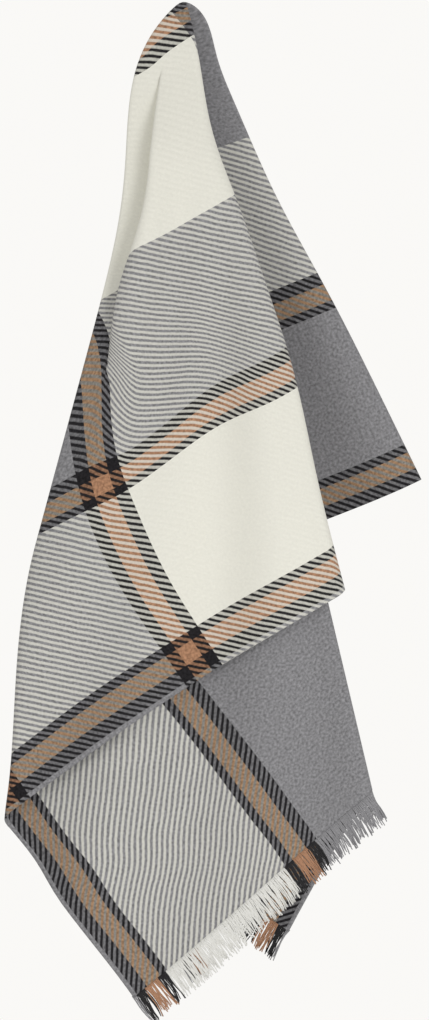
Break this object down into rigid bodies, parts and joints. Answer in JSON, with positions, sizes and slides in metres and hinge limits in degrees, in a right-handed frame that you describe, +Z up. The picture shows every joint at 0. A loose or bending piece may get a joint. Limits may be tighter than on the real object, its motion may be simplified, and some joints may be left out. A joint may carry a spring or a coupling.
{
  "type": "throw blanket",
  "caption": "Fringed plaid throw blanket, hung from one point on a peg so that its woven sheet falls in long folds",
  "frame": {"origin": "the point at the very top that the throw hangs from", "axes": "+Z up, +X to the right as seen from the front, the front faces -Y"},
  "size_m": [0.4946, 0.2218, 1.1738],
  "materials": {
    "woven_cloth": "brushed twill weave in cream, heather grey, black and tan",
    "grey_yarn": "loose brushed yarn",
    "black_yarn": "loose brushed yarn",
    "tan_yarn": "loose brushed yarn",
    "cream_yarn": "loose brushed yarn"
  },
  "bodies": {
    "root": {"woven_cloth": "woven_cloth", "gathered_peak": "woven_cloth", "near_fringe_grey": "grey_yarn", "near_fringe_black": "black_yarn", "near_fringe_tan": "tan_yarn", "near_fringe_cream": "cream_yarn", "far_fringe_grey": "grey_yarn", "far_fringe_black": "black_yarn", "far_fringe_tan": "tan_yarn", "far_fringe_cream": "cream_yarn"}
  },
  "joints": []
}
